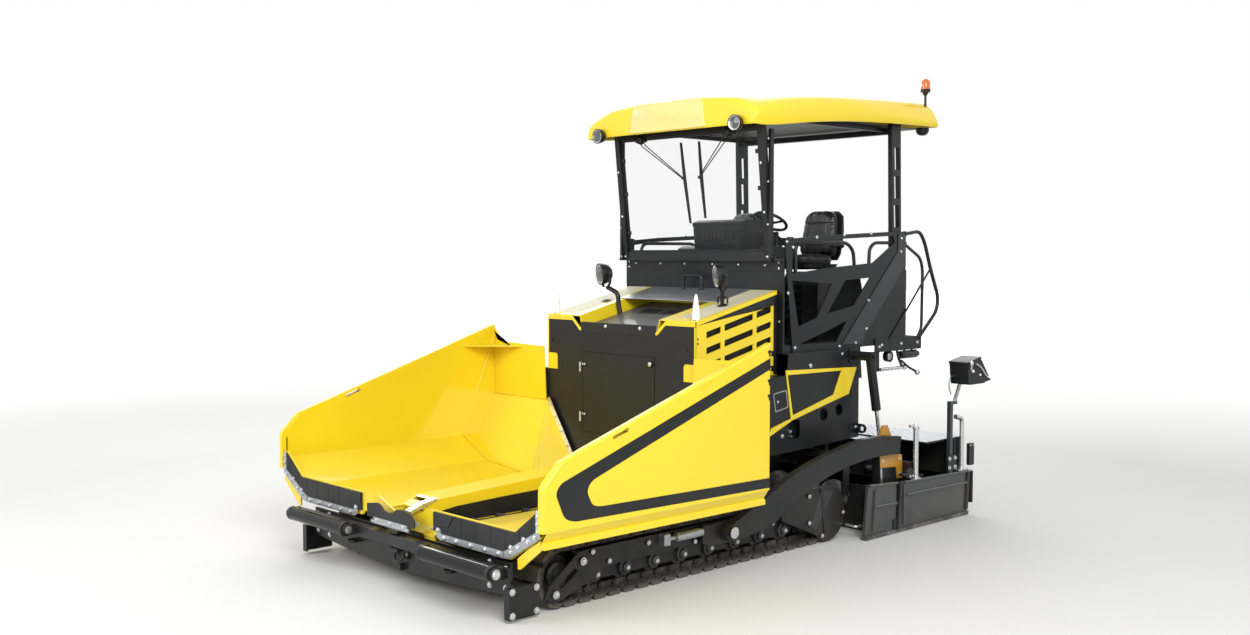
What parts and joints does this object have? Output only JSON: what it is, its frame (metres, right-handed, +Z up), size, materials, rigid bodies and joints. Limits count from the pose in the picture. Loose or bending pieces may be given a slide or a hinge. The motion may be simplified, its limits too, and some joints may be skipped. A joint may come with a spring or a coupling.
{
  "type": "tracked asphalt paver",
  "caption": "Tracked asphalt paver with folding hopper wings, push rollers, cross augers, roofed operator stand and a lifting, extending screed.",
  "frame": {"origin": "bottom centre of the whole machine, on the ground between the tracks", "axes": "+X forward to the hopper, +Y to the left of the machine, +Z up"},
  "size_m": [5.5944, 3.34, 3.97],
  "materials": {
    "yellow_paint": "gloss",
    "charcoal_paint": "satin",
    "black_rubber": "matte",
    "track_steel": "rough",
    "zinc_steel": "satin",
    "bright_chrome": "polished",
    "clear_glass": "clear",
    "black_plastic": "satin",
    "seat_vinyl": "satin",
    "engine_grey": "satin"
  },
  "bodies": {
    "chassis": {"auger_carrier": "charcoal_paint", "canopy": "yellow_paint", "console": "black_plastic", "conveyor_beds": "charcoal_paint", "conveyor_covers": "yellow_paint", "conveyor_slats": "track_steel", "deck": "charcoal_paint", "engine": "engine_grey", "front_beam": "charcoal_paint", "front_shields": "charcoal_paint", "hand_rails": "charcoal_paint", "hood_front": "charcoal_paint", "hood_shell": "yellow_paint", "lamps": "black_plastic", "levelling_cylinders": "zinc_steel", "lift_brackets": "charcoal_paint", "main_frame": "charcoal_paint", "rear_posts": "charcoal_paint", "screen_frame": "charcoal_paint", "seats": "seat_vinyl", "side_body": "charcoal_paint", "side_frames": "yellow_paint", "stand_sides": "charcoal_paint", "steering_wheel": "black_plastic", "track_frames": "charcoal_paint", "track_guards": "charcoal_paint", "track_left": "track_steel", "track_right": "track_steel", "track_wheels": "track_steel", "windscreen": "clear_glass", "wing_hinges": "charcoal_paint"},
    "wing_left": {"wing_shell_left": "yellow_paint", "wing_cladding_left": "yellow_paint", "wing_flap_left": "black_rubber", "wing_strips_left": "zinc_steel"},
    "wing_right": {"wing_shell_right": "yellow_paint", "wing_cladding_right": "yellow_paint", "wing_flap_right": "black_rubber", "wing_strips_right": "zinc_steel"},
    "wing_barrel_left": {"wing_cylinder_barrel_left": "charcoal_paint"},
    "wing_barrel_right": {"wing_cylinder_barrel_right": "charcoal_paint"},
    "wing_rod_left": {"wing_cylinder_rod_left": "bright_chrome"},
    "wing_rod_right": {"wing_cylinder_rod_right": "bright_chrome"},
    "front_flap": {"front_flap": "black_rubber", "front_flap_bar": "zinc_steel"},
    "push_beam": {"push_beam": "charcoal_paint"},
    "push_roller_left": {"push_roller_left": "charcoal_paint"},
    "push_roller_right": {"push_roller_right": "charcoal_paint"},
    "hood_door": {"hood_door": "charcoal_paint"},
    "screed": {"tow_arms": "charcoal_paint", "screed_base": "charcoal_paint"},
    "extension_left": {"screed_extension_left": "charcoal_paint", "end_gate_left": "charcoal_paint"},
    "extension_right": {"screed_extension_right": "charcoal_paint", "end_gate_right": "charcoal_paint"},
    "lift_barrels": {"lift_cylinder_barrels": "charcoal_paint"},
    "lift_rods": {"lift_cylinder_rods": "bright_chrome"},
    "auger_left": {"auger_left": "track_steel"},
    "auger_right": {"auger_right": "track_steel"}
  },
  "joints": [
    {"name": "wing_left_fold", "type": "hinge", "parent": "chassis", "child": "wing_left", "pos_m": [1.51224, 0.446, 0.44], "axis": [1, 0, 0], "range_deg": [0, 42]},
    {"name": "wing_barrel_left_swing", "type": "hinge", "parent": "chassis", "child": "wing_barrel_left", "pos_m": [2.44424, 0.56, 0.205], "axis": [1, 0, 0], "range_deg": [0, 38.29]},
    {"name": "wing_rod_left_slide", "type": "slide", "parent": "wing_barrel_left", "child": "wing_rod_left", "axis": [0, 0.9084, 0.4182], "range_m": [0, 0.1824]},
    {"name": "wing_right_fold", "type": "hinge", "parent": "chassis", "child": "wing_right", "pos_m": [1.51224, -0.446, 0.44], "axis": [-1, 0, 0], "range_deg": [0, 42]},
    {"name": "wing_barrel_right_swing", "type": "hinge", "parent": "chassis", "child": "wing_barrel_right", "pos_m": [2.44424, -0.56, 0.205], "axis": [-1, 0, 0], "range_deg": [0, 38.29]},
    {"name": "wing_rod_right_slide", "type": "slide", "parent": "wing_barrel_right", "child": "wing_rod_right", "axis": [0, -0.9084, 0.4182], "range_m": [0, 0.1824]},
    {"name": "front_flap_fold", "type": "hinge", "parent": "chassis", "child": "front_flap", "pos_m": [2.67424, 0, 0.432], "axis": [0, -1, 0], "range_deg": [-80, 0]},
    {"name": "push_beam_swing", "type": "hinge", "parent": "chassis", "child": "push_beam", "pos_m": [2.62724, 0, 0.33], "axis": [0, 0, 1], "range_deg": [-2.5, 2.5]},
    {"name": "push_roller_left_spin", "type": "hinge", "parent": "push_beam", "child": "push_roller_left", "pos_m": [2.74524, 0.885, 0.342], "axis": [0, 1, 0], "continuous": true},
    {"name": "push_roller_right_spin", "type": "hinge", "parent": "push_beam", "child": "push_roller_right", "pos_m": [2.74524, -0.885, 0.342], "axis": [0, 1, 0], "continuous": true},
    {"name": "hood_door_swing", "type": "hinge", "parent": "chassis", "child": "hood_door", "pos_m": [0.48584, -0.454, 1.2], "axis": [0, 0, 1], "range_deg": [-95, 0]},
    {"name": "screed_lift", "type": "hinge", "parent": "chassis", "child": "screed", "pos_m": [0.62224, 0, 0.3], "axis": [0, 1, 0], "range_deg": [0, 8]},
    {"name": "extension_left_slide", "type": "slide", "parent": "screed", "child": "extension_left", "axis": [0, 1, 0], "range_m": [0, 1]},
    {"name": "extension_right_slide", "type": "slide", "parent": "screed", "child": "extension_right", "axis": [0, -1, 0], "range_m": [0, 1]},
    {"name": "lift_barrels_swing", "type": "hinge", "parent": "chassis", "child": "lift_barrels", "pos_m": [-1.38776, 0, 1.48], "axis": [0, -1, 0], "range_deg": [-0.58, 0]},
    {"name": "lift_rods_slide", "type": "slide", "parent": "lift_barrels", "child": "lift_rods", "axis": [0.211, 0, 0.9775], "range_m": [0, 0.3102]},
    {"name": "auger_left_spin", "type": "hinge", "parent": "chassis", "child": "auger_left", "pos_m": [-1.00976, 0.64, 0.3], "axis": [0, 1, 0], "continuous": true},
    {"name": "auger_right_spin", "type": "hinge", "parent": "chassis", "child": "auger_right", "pos_m": [-1.00976, -0.64, 0.3], "axis": [0, 1, 0], "continuous": true}
  ],
  "couplings": [
    {"joint": "wing_barrel_left_swing", "follows": "wing_left_fold", "ratio": 0.9092},
    {"joint": "wing_rod_left_slide", "follows": "wing_left_fold", "m_per_rad": 0.24816},
    {"joint": "wing_barrel_right_swing", "follows": "wing_right_fold", "ratio": 0.9092},
    {"joint": "wing_rod_right_slide", "follows": "wing_right_fold", "m_per_rad": 0.24816},
    {"joint": "lift_barrels_swing", "follows": "screed_lift", "ratio": -0.0665},
    {"joint": "lift_rods_slide", "follows": "screed_lift", "m_per_rad": 2.2182}
  ]
}
